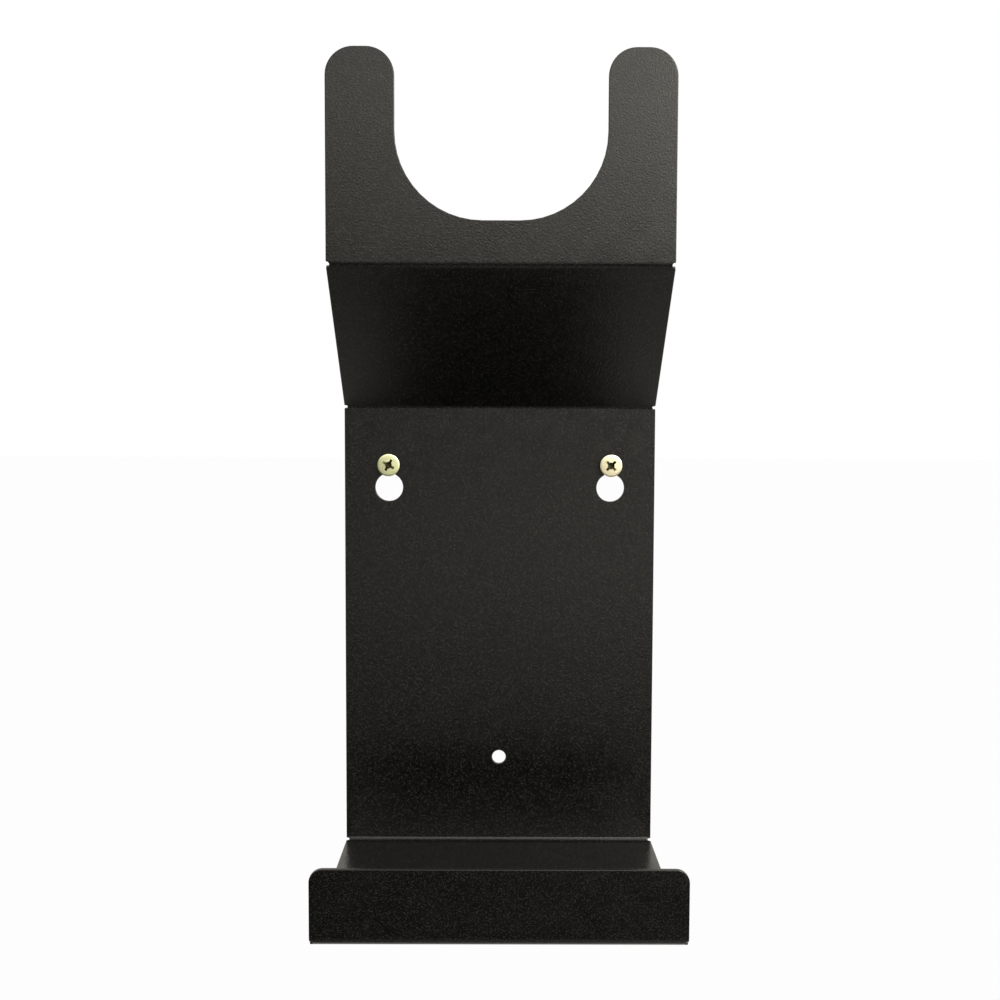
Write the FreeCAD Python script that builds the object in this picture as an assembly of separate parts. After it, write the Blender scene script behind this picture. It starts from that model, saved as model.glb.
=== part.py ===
import FreeCAD, Part

import math
import os

# Wall holder for a hair dryer and hand styling tools, in millimetres.
# One steel sheet is cut flat, folded four times and powder coated, and hangs by two keyholes
# on two countersunk screws in wall plugs.
# The wall is the plane y = 0 and +Y points into it, +Z is up, and the origin lies midway
# between the two screw axes.

# Sheet
WIDTH = 112.0
SHEET = 1.5
BEND_RADIUS = 1.5           # inside radius of every bend
LEAN_ANGLE = 45.0           # of the middle panel, from vertical

# Panels, measured between the sharp corners of the sheet's working face
FLOOR_BELOW_SCREWS = 138.0  # top of the tray floor
PLATE_HEIGHT = 159.0        # tray floor to the fold of the leaning panel
LEAN_LENGTH = 62.4
FORK_HEIGHT = 68.5
TRAY_DEPTH = 85.0           # front of the wall plate to the outside of the lip
LIP_HEIGHT = 22.0           # above the tray floor
LIP_CORNER_RADIUS = 4.0

# Cradle between the two tines of the fork
CRADLE_WIDTH = 68.0
CRADLE_CORNER_RADIUS = 28.0
CRADLE_ABOVE_FOLD = 14.3
TINE_CORNER_RADIUS = 9.0

# Small relief notch at both ends of every bend
NOTCH_WIDTH = 1.5
NOTCH_DEPTH = 1.1

# Keyholes and the spare fixing hole
SCREW_SPACING = 80.0
ENTRY_RADIUS = 5.0
ENTRY_BELOW_SCREW = 8.0
SLOT_WIDTH = 4.5
HANGING_CLEARANCE = 0.05    # slot end above the screw's shank
SPARE_HOLE_RADIUS = 2.5
SPARE_HOLE_ABOVE_FLOOR = 31.0

# Countersunk cross-recess screw, 4 x 35
SHANK_RADIUS = 2.0
HEAD_RADIUS = 4.0
HEAD_LAND = 0.3
HEAD_FACE = -4.0            # y of the head's flat face
SCREW_LENGTH = 35.0
THREAD_START = 6.0          # y where the thread begins
THREAD_PITCH = 1.8
CORE_RADIUS = 1.35
THREAD_BASE = 0.9           # width of the thread's rib at its root
THREAD_CREST = 0.12
THREAD_ROOT_OVERLAP = 0.1   # how far the rib is sunk into the core
POINT_LENGTH = 5.0
LEFT_RECESS_TURN = 60.0     # a wing's angle from +X, as tightened
RIGHT_RECESS_TURN = 45.0

# Cross recess
RECESS_RADIUS = 2.1
RECESS_DEPTH = 2.2
RECESS_BOTTOM_RADIUS = 0.9
WING_WIDTH = 0.75
RECESS_CORE_RADIUS = 1.25
TICK_WIDTH = 0.25
TICK_DEPTH = 0.15
TICK_RADIUS = 2.9

# Nylon wall plug, 6 x 30
PLUG_RADIUS = 3.0
PLUG_LENGTH = 30.0
PLUG_FACE = 0.3             # y of the plug's mouth, just under the wall's surface
PLUG_NECK = 6.0             # plain round stretch behind the mouth
PLUG_MOUTH_RADIUS = 2.1
PLUG_MOUTH_TAPER = 1.0
PLUG_BORE_RADIUS = 1.5
PLUG_TIP_LENGTH = 4.0
PLUG_TIP_RADIUS = 2.2
PLUG_SLIT_WIDTH = 0.8
RIB_COUNT = 7
RIB_PITCH = 2.6
RIB_DEPTH = 0.5
RIB_CREST = 0.6
FIN_LENGTH = 9.0
FIN_REACH = 2.9             # the fins lie folded flat, inside the drilled hole
FIN_WIDTH = 0.9

CUT_LENGTH = 10.0           # reach of each cutter through the sheet, well over its thickness
SAME_PLACE = 1e-4

ACROSS = FreeCAD.Vector(1, 0, 0)
INTO_WALL = FreeCAD.Vector(0, 1, 0)
UP = FreeCAD.Vector(0, 0, 1)


def working_face_corners():
    """Sharp corners (y, z) of the side that holds the tools, from the lip's top edge to the tine tips."""
    floor = -FLOOR_BELOW_SCREWS
    lip_inside = -TRAY_DEPTH
    plate_front = -SHEET
    fold_height = floor + PLATE_HEIGHT
    lean = math.radians(LEAN_ANGLE)
    fork_front = plate_front - LEAN_LENGTH * math.sin(lean)
    fork_fold = fold_height + LEAN_LENGTH * math.cos(lean)
    return [
        (lip_inside, floor + LIP_HEIGHT),
        (lip_inside, floor),
        (plate_front, floor),
        (plate_front, fold_height),
        (fork_front, fork_fold),
        (fork_front, fork_fold + FORK_HEIGHT),
    ]


def normals(corners):
    """Unit normal of each panel, pointing from the working face to the other face."""
    result = []
    for start, end in zip(corners, corners[1:]):
        length = math.dist(start, end)
        result.append(((end[1] - start[1]) / length, -(end[0] - start[0]) / length))
    return result


def other_face_corners(corners):
    """The same corners on the far side of the sheet."""
    faces = normals(corners)
    before = [faces[0]] + faces
    after = faces + [faces[-1]]
    result = []
    for (y, z), first, second in zip(corners, before, after):
        reach = SHEET / (1 + first[0] * second[0] + first[1] * second[1])
        result.append((y + reach * (first[0] + second[0]), z + reach * (first[1] + second[1])))
    return result


def edges_at(shape, direction, places):
    """Straight edges along a direction that pass through one of the places in the plane across it."""
    found = []
    for edge in shape.Edges:
        if len(edge.Vertexes) != 2 or edge.Curve.TypeId != "Part::GeomLine":
            continue
        start, end = (vertex.Point for vertex in edge.Vertexes)
        if (end - start).cross(direction).Length > SAME_PLACE:
            continue
        for place in places:
            if (start - place).cross(direction).Length < SAME_PLACE:
                found.append(edge)
    return found


def prism(points, direction):
    return Part.Face(Part.makePolygon(points + points[:1])).extrude(direction)


def slot_cutter(start, end, radius, through):
    """Round-ended slot from start to end, cut along the vector through, half of it to each side."""
    side = through.cross(end - start).normalize() * radius
    back = through * -0.5
    rectangle = [start + side + back, end + side + back, end - side + back, start - side + back]
    cutter = prism(rectangle, through)
    for centre in (start, end):
        cutter = cutter.fuse(Part.makeCylinder(radius, through.Length, centre + back, through))
    return cutter


def folded_sheet():
    """The sheet after folding, still with square ends."""
    near = working_face_corners()
    far = other_face_corners(near)
    outline = [FreeCAD.Vector(-WIDTH / 2, y, z) for y, z in near + far[::-1]]
    solid = prism(outline, ACROSS * WIDTH)
    inside = [FreeCAD.Vector(0, *place) for place in near[1:4] + far[4:5]]
    outside = [FreeCAD.Vector(0, *place) for place in far[1:4] + near[4:5]]
    solid = solid.makeFillet(BEND_RADIUS, edges_at(solid, ACROSS, inside))
    return solid.makeFillet(BEND_RADIUS + SHEET, edges_at(solid, ACROSS, outside))


def relief_notches():
    """Cutters for the notch at both ends of each of the four bends."""
    near = working_face_corners()
    faces = normals(near)
    cutters = []
    for (y, z), first, second in zip(near[1:-1], faces, faces[1:]):
        through = FreeCAD.Vector(0, first[0] + second[0], first[1] + second[1]).normalize() * CUT_LENGTH
        for side in (-1, 1):
            inner = FreeCAD.Vector(side * (WIDTH / 2 - NOTCH_DEPTH + NOTCH_WIDTH / 2), y, z)
            outer = inner + ACROSS * side * NOTCH_WIDTH
            cutters.append(slot_cutter(inner, outer, NOTCH_WIDTH / 2, through))
    return cutters


def cradle_cutter():
    """The U between the tines, open at the top."""
    fork_front, fork_fold = working_face_corners()[4]
    bottom = fork_fold + CRADLE_ABOVE_FOLD
    corner = FreeCAD.Vector(-CRADLE_WIDTH / 2, fork_front - CUT_LENGTH / 2, bottom)
    cutter = Part.makeBox(CRADLE_WIDTH, CUT_LENGTH, FORK_HEIGHT, corner)
    corners = [FreeCAD.Vector(side * CRADLE_WIDTH / 2, 0, bottom) for side in (-1, 1)]
    return cutter.makeFillet(CRADLE_CORNER_RADIUS, edges_at(cutter, INTO_WALL, corners))


def keyhole_cutter(x):
    """Large entry hole with a narrow slot above it, whose round end rests on the screw's shank."""
    through = INTO_WALL * CUT_LENGTH
    entry = FreeCAD.Vector(x, 0, -ENTRY_BELOW_SCREW)
    slot_end = FreeCAD.Vector(x, 0, SHANK_RADIUS + HANGING_CLEARANCE - SLOT_WIDTH / 2)
    hole = Part.makeCylinder(ENTRY_RADIUS, through.Length, entry - through * 0.5, INTO_WALL)
    return hole.fuse(slot_cutter(entry, slot_end, SLOT_WIDTH / 2, through))


def spare_hole_cutter():
    start = FreeCAD.Vector(0, -CUT_LENGTH / 2, SPARE_HOLE_ABOVE_FLOOR - FLOOR_BELOW_SCREWS)
    return Part.makeCylinder(SPARE_HOLE_RADIUS, CUT_LENGTH, start, INTO_WALL)


def folded_bracket():
    """The whole sheet-metal holder: lip, tray floor, wall plate, leaning panel and fork."""
    near = working_face_corners()
    cutters = relief_notches() + [cradle_cutter(), spare_hole_cutter()]
    cutters += [keyhole_cutter(side * SCREW_SPACING / 2) for side in (-1, 1)]
    solid = folded_sheet().cut(cutters)

    lip_top = near[0][1]
    lip_corners = [FreeCAD.Vector(side * WIDTH / 2, 0, lip_top) for side in (-1, 1)]
    solid = solid.makeFillet(LIP_CORNER_RADIUS, edges_at(solid, INTO_WALL, lip_corners))

    tine_top = near[-1][1]
    tine_edges = (-WIDTH / 2, -CRADLE_WIDTH / 2, CRADLE_WIDTH / 2, WIDTH / 2)
    tine_corners = [FreeCAD.Vector(x, 0, tine_top) for x in tine_edges]
    solid = solid.makeFillet(TINE_CORNER_RADIUS, edges_at(solid, INTO_WALL, tine_corners))
    return solid.removeSplitter()


def turned(profile):
    """Solid of revolution about Z, from (radius, depth) points."""
    points = [FreeCAD.Vector(radius, 0, depth) for radius, depth in profile]
    face = Part.Face(Part.makePolygon(points + points[:1]))
    return face.revolve(FreeCAD.Vector(), UP, 360)


def set_in_wall(shape, x, turn=0.0):
    """A piece built along +Z, turned to point into the wall and moved to its place."""
    shape = shape.copy()
    shape.rotate(FreeCAD.Vector(), UP, -turn)
    shape.rotate(FreeCAD.Vector(), ACROSS, -90)
    shape.translate(ACROSS * x)
    return shape


def cross_recess():
    """Cross recess of four tapered wings round a core, with a shallow tick between each two wings."""
    face = HEAD_FACE
    cutter = Part.makeCone(RECESS_CORE_RADIUS, RECESS_BOTTOM_RADIUS, RECESS_DEPTH,
                           FreeCAD.Vector(0, 0, face))
    wing = prism([
        FreeCAD.Vector(-RECESS_RADIUS, -WING_WIDTH / 2, face),
        FreeCAD.Vector(RECESS_RADIUS, -WING_WIDTH / 2, face),
        FreeCAD.Vector(RECESS_BOTTOM_RADIUS, -WING_WIDTH / 2, face + RECESS_DEPTH),
        FreeCAD.Vector(-RECESS_BOTTOM_RADIUS, -WING_WIDTH / 2, face + RECESS_DEPTH),
    ], INTO_WALL * WING_WIDTH)
    tick = Part.makeBox(2 * TICK_RADIUS, TICK_WIDTH, TICK_DEPTH,
                        FreeCAD.Vector(-TICK_RADIUS, -TICK_WIDTH / 2, face))
    for quarter in (0, 90):
        for tool, angle in ((wing, quarter), (tick, quarter + 45)):
            copy = tool.copy()
            copy.rotate(FreeCAD.Vector(), UP, angle)
            cutter = cutter.fuse(copy)
    return cutter


def helical_thread():
    """Sharp rib wound round the core, from the plain shank to the point."""
    length = HEAD_FACE + SCREW_LENGTH - POINT_LENGTH - THREAD_START
    root = CORE_RADIUS - THREAD_ROOT_OVERLAP
    rib = Part.makePolygon([
        FreeCAD.Vector(root, 0, -THREAD_BASE / 2),
        FreeCAD.Vector(SHANK_RADIUS, 0, -THREAD_CREST / 2),
        FreeCAD.Vector(SHANK_RADIUS, 0, THREAD_CREST / 2),
        FreeCAD.Vector(root, 0, THREAD_BASE / 2),
        FreeCAD.Vector(root, 0, -THREAD_BASE / 2),
    ])
    helix = Part.Wire(Part.makeHelix(THREAD_PITCH, length, CORE_RADIUS))
    thread = helix.makePipeShell([rib], True, True)
    thread.translate(UP * THREAD_START)
    return thread


def wall_screw(x, turn):
    """Countersunk screw with a plain shank, a thread and a sharp point."""
    neck = HEAD_FACE + HEAD_LAND + HEAD_RADIUS - SHANK_RADIUS
    tip = HEAD_FACE + SCREW_LENGTH
    body = turned([
        (0, HEAD_FACE),
        (HEAD_RADIUS, HEAD_FACE),
        (HEAD_RADIUS, HEAD_FACE + HEAD_LAND),
        (SHANK_RADIUS, neck),
        (SHANK_RADIUS, THREAD_START),
        (CORE_RADIUS, THREAD_START + SHANK_RADIUS - CORE_RADIUS),
        (CORE_RADIUS, tip - POINT_LENGTH),
        (0, tip),
    ])
    return set_in_wall(body.cut(cross_recess()).fuse(helical_thread()), x, turn)


def wall_plug(x):
    """Round neck, then a split stretch with saw-tooth ribs and two fins, and a tapered tip."""
    end = PLUG_FACE + PLUG_LENGTH
    grip_start = PLUG_FACE + PLUG_NECK
    body = turned([
        (PLUG_MOUTH_RADIUS, PLUG_FACE),
        (PLUG_RADIUS, PLUG_FACE),
        (PLUG_RADIUS, end - PLUG_TIP_LENGTH),
        (PLUG_TIP_RADIUS, end),
        (PLUG_BORE_RADIUS, end),
        (PLUG_BORE_RADIUS, grip_start),
        (PLUG_MOUTH_RADIUS, grip_start - PLUG_MOUTH_TAPER),
    ])
    for index in range(RIB_COUNT):
        start = grip_start + index * RIB_PITCH
        body = body.cut(turned([
            (PLUG_RADIUS + RIB_DEPTH, start),
            (PLUG_RADIUS, start),
            (PLUG_RADIUS - RIB_DEPTH, start + RIB_PITCH - RIB_CREST),
            (PLUG_RADIUS + RIB_DEPTH, start + RIB_PITCH - RIB_CREST),
        ]))
    grip_length = PLUG_LENGTH - PLUG_NECK - PLUG_TIP_LENGTH
    body = body.cut(Part.makeBox(PLUG_SLIT_WIDTH, 4 * PLUG_RADIUS, grip_length,
                                 FreeCAD.Vector(-PLUG_SLIT_WIDTH / 2, -2 * PLUG_RADIUS, grip_start)))
    fin_root = (PLUG_BORE_RADIUS + PLUG_RADIUS) / 2
    for side in (-1, 1):
        body = body.fuse(prism([
            FreeCAD.Vector(-FIN_WIDTH / 2, side * fin_root, grip_start),
            FreeCAD.Vector(-FIN_WIDTH / 2, side * FIN_REACH, grip_start),
            FreeCAD.Vector(-FIN_WIDTH / 2, side * fin_root, grip_start + FIN_LENGTH),
        ], ACROSS * FIN_WIDTH))
    return set_in_wall(body.removeSplitter(), x)


def write(shape, node):
    shape.exportStep(f"parts/{node}.step")
    print(node, "solids", len(shape.Solids), "valid", shape.isValid(), "mm3", round(shape.Volume, 1))


os.makedirs("parts", exist_ok=True)
write(folded_bracket(), "folded_bracket")
for side, name, turn in ((-1, "left", LEFT_RECESS_TURN), (1, "right", RIGHT_RECESS_TURN)):
    write(wall_screw(side * SCREW_SPACING / 2, turn), f"wall_screw_{name}")
    write(wall_plug(side * SCREW_SPACING / 2), f"wall_plug_{name}")
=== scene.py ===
import math

import bmesh
import bpy
from mathutils import Matrix, Vector
from mathutils.geometry import delaunay_2d_cdt


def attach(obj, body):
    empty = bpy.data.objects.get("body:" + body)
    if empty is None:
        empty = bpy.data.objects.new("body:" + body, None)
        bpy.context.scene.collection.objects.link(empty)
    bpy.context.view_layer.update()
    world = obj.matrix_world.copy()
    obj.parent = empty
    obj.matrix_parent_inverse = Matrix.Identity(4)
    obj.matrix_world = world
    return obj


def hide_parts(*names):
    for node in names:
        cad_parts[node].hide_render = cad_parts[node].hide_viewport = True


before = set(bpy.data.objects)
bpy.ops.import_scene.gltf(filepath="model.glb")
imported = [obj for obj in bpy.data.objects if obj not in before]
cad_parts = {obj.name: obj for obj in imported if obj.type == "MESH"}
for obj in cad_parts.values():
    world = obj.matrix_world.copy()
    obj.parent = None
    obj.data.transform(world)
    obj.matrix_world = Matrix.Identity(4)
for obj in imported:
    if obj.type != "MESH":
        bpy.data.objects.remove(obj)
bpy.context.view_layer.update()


# Folded holder: one blank of 1.5 mm cold-rolled steel, laser cut with its holes and relief
# notches, tumbled to break the edges, folded by four strokes of a press brake, and then
# covered all over with a black fine-texture powder coat.

MM = 0.001
WIDTH = 112 * MM
SHEET = 1.5 * MM
BEND_RADIUS = 1.5 * MM                  # inside radius of every fold
OUTER_RADIUS = BEND_RADIUS + SHEET
MID_RADIUS = BEND_RADIUS + SHEET / 2
SHEET_MIDDLE = -SHEET / 2               # y of the middle of the wall plate
EDGE_ROUNDING = 0.25 * MM

FLOOR_TOP = -138 * MM                   # the tray floor, below the axes of the screws
PLATE_HEIGHT = 159 * MM                 # from the tray floor to the lean fold
LEAN_LENGTH = 62.4 * MM
FORK_HEIGHT = 68.5 * MM
CRADLE_HEIGHT = 14.3 * MM               # from the fork fold to the bottom of the cradle
TRAY_DEPTH = 85 * MM                    # from the wall to the inside of the lip
LIP_HEIGHT = 22 * MM

LEAN_TURN = math.radians(45)
FLOOR_TURN = math.radians(90)
LEAN_ARC = MID_RADIUS * LEAN_TURN
FLOOR_ARC = MID_RADIUS * FLOOR_TURN

# How far before the corner of two front faces the arc of their fold starts
HOLLOW_SETBACK = BEND_RADIUS * math.tan(LEAN_TURN / 2)
PROUD_SETBACK = OUTER_RADIUS * math.tan(LEAN_TURN / 2)

# Heights on the flat blank, which lies in the plane of the wall plate
LEAN_LINE = FLOOR_TOP + PLATE_HEIGHT - HOLLOW_SETBACK
FORK_LINE = LEAN_LINE + LEAN_ARC + LEAN_LENGTH - HOLLOW_SETBACK - PROUD_SETBACK
TINE_TOP = FORK_LINE + LEAN_ARC + FORK_HEIGHT - PROUD_SETBACK
CRADLE_BOTTOM = FORK_LINE + LEAN_ARC + CRADLE_HEIGHT - PROUD_SETBACK
FLOOR_LINE = FLOOR_TOP + BEND_RADIUS
LIP_LINE = FLOOR_LINE - FLOOR_ARC - (TRAY_DEPTH - SHEET - 2 * BEND_RADIUS)
LIP_EDGE = LIP_LINE - FLOOR_ARC - (LIP_HEIGHT - BEND_RADIUS)

CRADLE_HALF = 34 * MM
CRADLE_CORNER = 28 * MM
TINE_CORNER = 9 * MM
LIP_CORNER = 4 * MM
NOTCH_HALF = 0.75 * MM
NOTCH_DEPTH = 1.1 * MM
NOTCH_MOUTH = 0.3 * MM

SCREW_X = 40 * MM
ENTRY_Z = -8 * MM
ENTRY_RADIUS = 5 * MM
SLOT_RADIUS = 2.25 * MM
SLOT_END_Z = -0.2 * MM
SPARE_HOLE_Z = FLOOR_TOP + 31 * MM
SPARE_HOLE_RADIUS = 2.5 * MM

SAME_POINT = 1e-7
WELD_DISTANCE = 1e-6
FILL_TOLERANCE = 1e-9
ARC_STEP = math.radians(7.5)
BEND_STEP = math.radians(7.5)


def arc_points(centre, radius, start, end):
    """Points on an arc from one angle to the other, both ends included."""
    steps = max(2, math.ceil(abs(end - start) / ARC_STEP))
    angles = [start + (end - start) * index / steps for index in range(steps + 1)]
    return [centre + Vector((math.cos(a), math.sin(a))) * radius for a in angles]


def rounded_outline(corners):
    """Closed outline through the (x, z, radius) corners, each rounded by its radius."""
    outline = []
    for index, (x, z, radius) in enumerate(corners):
        here = Vector((x, z))
        before = (Vector(corners[index - 1][:2]) - here).normalized()
        after = (Vector(corners[(index + 1) % len(corners)][:2]) - here).normalized()
        opening = before.angle(after)
        centre = here + (before + after).normalized() * radius / math.sin(opening / 2)
        start = here + before * radius / math.tan(opening / 2) - centre
        turn = (math.pi - opening) * (1 if before.x * after.y - before.y * after.x < 0 else -1)
        first = math.atan2(start.y, start.x)
        outline += arc_points(centre, radius, first, first + turn)
    return [point for index, point in enumerate(outline)
            if (point - outline[index - 1]).length > SAME_POINT]


def keyhole(x):
    """Entry hole with a narrower slot above it, clockwise so that the metal is on its left."""
    meeting = math.acos(SLOT_RADIUS / ENTRY_RADIUS)
    entry = arc_points(Vector((x, ENTRY_Z)), ENTRY_RADIUS, meeting, -math.pi - meeting)
    slot = arc_points(Vector((x, SLOT_END_Z)), SLOT_RADIUS, math.pi, 0)
    return entry + slot


def notch(line, arc_side):
    """Relief notch on the right-hand edge, at the middle of a fold's arc, from below upwards."""
    middle = line + arc_side / 2
    edge, bottom = WIDTH / 2, WIDTH / 2 - NOTCH_DEPTH
    return [
        (edge, middle - NOTCH_HALF, NOTCH_MOUTH),
        (bottom, middle - NOTCH_HALF, NOTCH_HALF),
        (bottom, middle + NOTCH_HALF, NOTCH_HALF),
        (edge, middle + NOTCH_HALF, NOTCH_MOUTH),
    ]


right_side = [(WIDTH / 2, LIP_EDGE, LIP_CORNER)]
right_side += notch(LIP_LINE, -FLOOR_ARC)
right_side += notch(FLOOR_LINE, -FLOOR_ARC)
right_side += notch(LEAN_LINE, LEAN_ARC)
right_side += notch(FORK_LINE, LEAN_ARC)
right_side += [
    (WIDTH / 2, TINE_TOP, TINE_CORNER),
    (CRADLE_HALF, TINE_TOP, TINE_CORNER),
    (CRADLE_HALF, CRADLE_BOTTOM, CRADLE_CORNER),
]
left_side = [(-x, z, radius) for x, z, radius in reversed(right_side)]
spare_hole = arc_points(Vector((0, SPARE_HOLE_Z)), SPARE_HOLE_RADIUS, math.tau, 0)[:-1]
loops = [rounded_outline(right_side + left_side), keyhole(-SCREW_X), keyhole(SCREW_X), spare_hole]


def inset(loop, distance):
    """The loop moved into the metal, which lies on its left."""
    moved = []
    for index, point in enumerate(loop):
        into = (point - loop[index - 1]).normalized()
        out = (loop[(index + 1) % len(loop)] - point).normalized()
        first, second = Vector((-into.y, into.x)), Vector((-out.y, out.x))
        moved.append(point + (first + second) * distance / (1 + first.dot(second)))
    return moved


# Rings across the rounded edge, as (inset, distance from the front face, share of wear)
edge_angles = [math.radians(angle) for angle in (0, 30, 60, 90)]
front_rings = [
    (EDGE_ROUNDING * (1 - math.sin(a)), EDGE_ROUNDING * (1 - math.cos(a)), math.sin(a))
    for a in edge_angles
]
edge_rings = front_rings + [(i, SHEET - depth, wear) for i, depth, wear in reversed(front_rings)]

blank = bmesh.new()
wear_layer = blank.verts.layers.float.new("edge_wear")
faces_of_blank = {0: [], len(edge_rings) - 1: []}
for loop in loops:
    rings = []
    for number, (shrink, depth, wear) in enumerate(edge_rings):
        ring = []
        for point in inset(loop, shrink):
            vertex = blank.verts.new((point.x, -SHEET + depth, point.y))
            vertex[wear_layer] = wear
            ring.append(vertex)
        rings.append(ring)
        if number in faces_of_blank:
            faces_of_blank[number].append(ring)
    for lower, upper in zip(rings, rings[1:]):
        for index in range(len(loop)):
            blank.faces.new((lower[index - 1], lower[index], upper[index], upper[index - 1]))


def encloses(loop, point):
    """Whether a closed loop goes round a point."""
    crossings = 0
    for start, end in zip(loop, loop[1:] + loop[:1]):
        if (start.y > point.y) != (end.y > point.y):
            across = start.x + (end.x - start.x) * (point.y - start.y) / (end.y - start.y)
            crossings += across > point.x
    return crossings % 2 == 1


# The two flat faces are filled between the outline and the holes.
TRIANGLES_INSIDE = 1
for rings in faces_of_blank.values():
    vertices = [vertex for ring in rings for vertex in ring]
    edges = []
    for ring in rings:
        first = len(edges)
        edges += [(first + index, first + (index + 1) % len(ring)) for index in range(len(ring))]
    points = [Vector((vertex.co.x, vertex.co.z)) for vertex in vertices]
    holes = [[Vector((vertex.co.x, vertex.co.z)) for vertex in ring] for ring in rings[1:]]
    filled = delaunay_2d_cdt(points, edges, [], TRIANGLES_INSIDE, FILL_TOLERANCE)
    sources = [source[0] for source in filled[3]]
    for triangle in filled[2]:
        corners = [sources[index] for index in triangle]
        middle = sum((points[corner] for corner in corners), Vector((0, 0))) / 3
        if not any(encloses(hole, middle) for hole in holes):
            blank.faces.new([vertices[corner] for corner in corners])

bend_zones = [
    (LEAN_LINE, LEAN_ARC, LEAN_TURN),
    (FORK_LINE, LEAN_ARC, LEAN_TURN),
    (FLOOR_LINE - FLOOR_ARC, FLOOR_ARC, FLOOR_TURN),
    (LIP_LINE - FLOOR_ARC, FLOOR_ARC, FLOOR_TURN),
]
for low, arc, turn in bend_zones:
    steps = round(turn / BEND_STEP)
    for index in range(steps + 1):
        everything = blank.verts[:] + blank.edges[:] + blank.faces[:]
        bmesh.ops.bisect_plane(blank, geom=everything, dist=WELD_DISTANCE,
                               plane_co=(0, 0, low + arc * index / steps), plane_no=(0, 0, 1))
bmesh.ops.remove_doubles(blank, verts=blank.verts, dist=WELD_DISTANCE)
bmesh.ops.recalc_face_normals(blank, faces=blank.faces)
for face in blank.faces:
    face.smooth = True
holder_mesh = bpy.data.meshes.new("folded_holder")
blank.to_mesh(holder_mesh)
blank.free()


def add_node(tree, kind, inputs=None, **settings):
    """Adds a node with its settings, and fills or links its inputs."""
    made = tree.nodes.new(kind)
    for name, value in settings.items():
        setattr(made, name, value)
    for key, value in (inputs or {}).items():
        if isinstance(value, bpy.types.NodeSocket):
            tree.links.new(value, made.inputs[key])
        else:
            made.inputs[key].default_value = value
    return made


def linear(hex_colour):
    """An sRGB hex colour as linear RGBA."""
    channels = [int(hex_colour[i:i + 2], 16) / 255 for i in (1, 3, 5)]
    return [c / 12.92 if c <= 0.04045 else ((c + 0.055) / 1.055) ** 2.4 for c in channels] + [1]


def new_material(name):
    """An empty material and its output node."""
    material = bpy.data.materials.new(name)
    material.use_nodes = True
    material.node_tree.nodes.clear()
    return material, add_node(material.node_tree, "ShaderNodeOutputMaterial")


# Polyester powder coat, black, fine texture: the melted grains leave a satin skin of tiny
# bumps over a slow waviness, and it thins a little at the edges. Paler dots are painted into
# the colour as painted glints, where the bumps catch the light. Real bumps and glints are
# finer. They are drawn coarser, about half a millimetre apart, so that they show.
COAT_GRAIN = 0.6 * MM
COAT_GRAIN_HEIGHT = 0.055 * MM
# size of the painted glints: paler dots in the coat's colour
COAT_GLINT_DOT = 0.45 * MM
COAT_WAVE = 6 * MM
EDGE_THINNING = 0.35
NOISE_LOW = 0.3                         # where most of a noise's values start
NOISE_HIGH = 0.7                        # and end
powder_coat, coat_output = new_material("black fine-texture powder coat")
tree = powder_coat.node_tree
place = add_node(tree, "ShaderNodeTexCoord").outputs["Object"]
grain = add_node(tree, "ShaderNodeTexNoise",
                 {"Vector": place, "Scale": 1 / COAT_GRAIN, "Detail": 1.0, "Roughness": 0.5})
# painted glints: paler dots mixed into the coat's colour stand for the bumps catching the light
glint_dots = add_node(tree, "ShaderNodeTexNoise",
                 {"Vector": place, "Scale": 1 / COAT_GLINT_DOT, "Detail": 0.0})
wave = add_node(tree, "ShaderNodeTexNoise",
                {"Vector": place, "Scale": 1 / COAT_WAVE, "Detail": 1.0, "Roughness": 0.4})
shade = add_node(tree, "ShaderNodeMapRange",
                 {"Value": glint_dots.outputs["Fac"], "From Min": 0.5, "From Max": 0.75})
skin = add_node(tree, "ShaderNodeMix",
                {"Factor": shade.outputs["Result"], "A": linear("#040404"), "B": linear("#20201e")},
                data_type="RGBA")
wear = add_node(tree, "ShaderNodeAttribute", attribute_name="edge_wear")
worn = add_node(tree, "ShaderNodeMath", {0: wear.outputs["Fac"], 1: EDGE_THINNING},
                operation="MULTIPLY")
coat_colour = add_node(tree, "ShaderNodeMix",
                       {"Factor": worn.outputs["Value"], "A": skin.outputs["Result"],
                        "B": linear("#1c1b19")}, data_type="RGBA")
coat_roughness = add_node(tree, "ShaderNodeMapRange",
                          {"Value": wave.outputs["Fac"], "From Min": NOISE_LOW,
                           "From Max": NOISE_HIGH, "To Min": 0.21, "To Max": 0.27})
coat_bump = add_node(tree, "ShaderNodeBump",
                     {"Height": grain.outputs["Fac"], "Distance": COAT_GRAIN_HEIGHT})
coat = add_node(tree, "ShaderNodeBsdfPrincipled",
                {"Base Color": coat_colour.outputs["Result"],
                 "Roughness": coat_roughness.outputs["Result"],
                 "Normal": coat_bump.outputs["Normal"], "IOR": 1.5, "Specular IOR Level": 0.4})
tree.links.new(coat.outputs["BSDF"], coat_output.inputs["Surface"])

# One stroke of the press brake: what lies past the fold line is wound round the punch
# up to the end of the arc, and the rest of the blank swings with it.
press_brake = bpy.data.node_groups.new("press brake stroke", "GeometryNodeTree")
for name, kind in (("Blank", "NodeSocketGeometry"), ("Fold line", "NodeSocketFloat"),
                   ("Side", "NodeSocketFloat"), ("Turn", "NodeSocketFloat"),
                   ("Radius", "NodeSocketFloat"), ("Sheet middle", "NodeSocketFloat"),
                   ("Finish", "NodeSocketMaterial")):
    press_brake.interface.new_socket(name, in_out="INPUT", socket_type=kind)
press_brake.interface.new_socket("Folded", in_out="OUTPUT", socket_type="NodeSocketGeometry")
given = add_node(press_brake, "NodeGroupInput").outputs
spot = add_node(press_brake, "GeometryNodeInputPosition").outputs["Position"]
parts = add_node(press_brake, "ShaderNodeSeparateXYZ", {"Vector": spot}).outputs
above = add_node(press_brake, "ShaderNodeMath", {0: parts["Z"], 1: given["Fold line"]},
                 operation="SUBTRACT").outputs[0]
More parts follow.
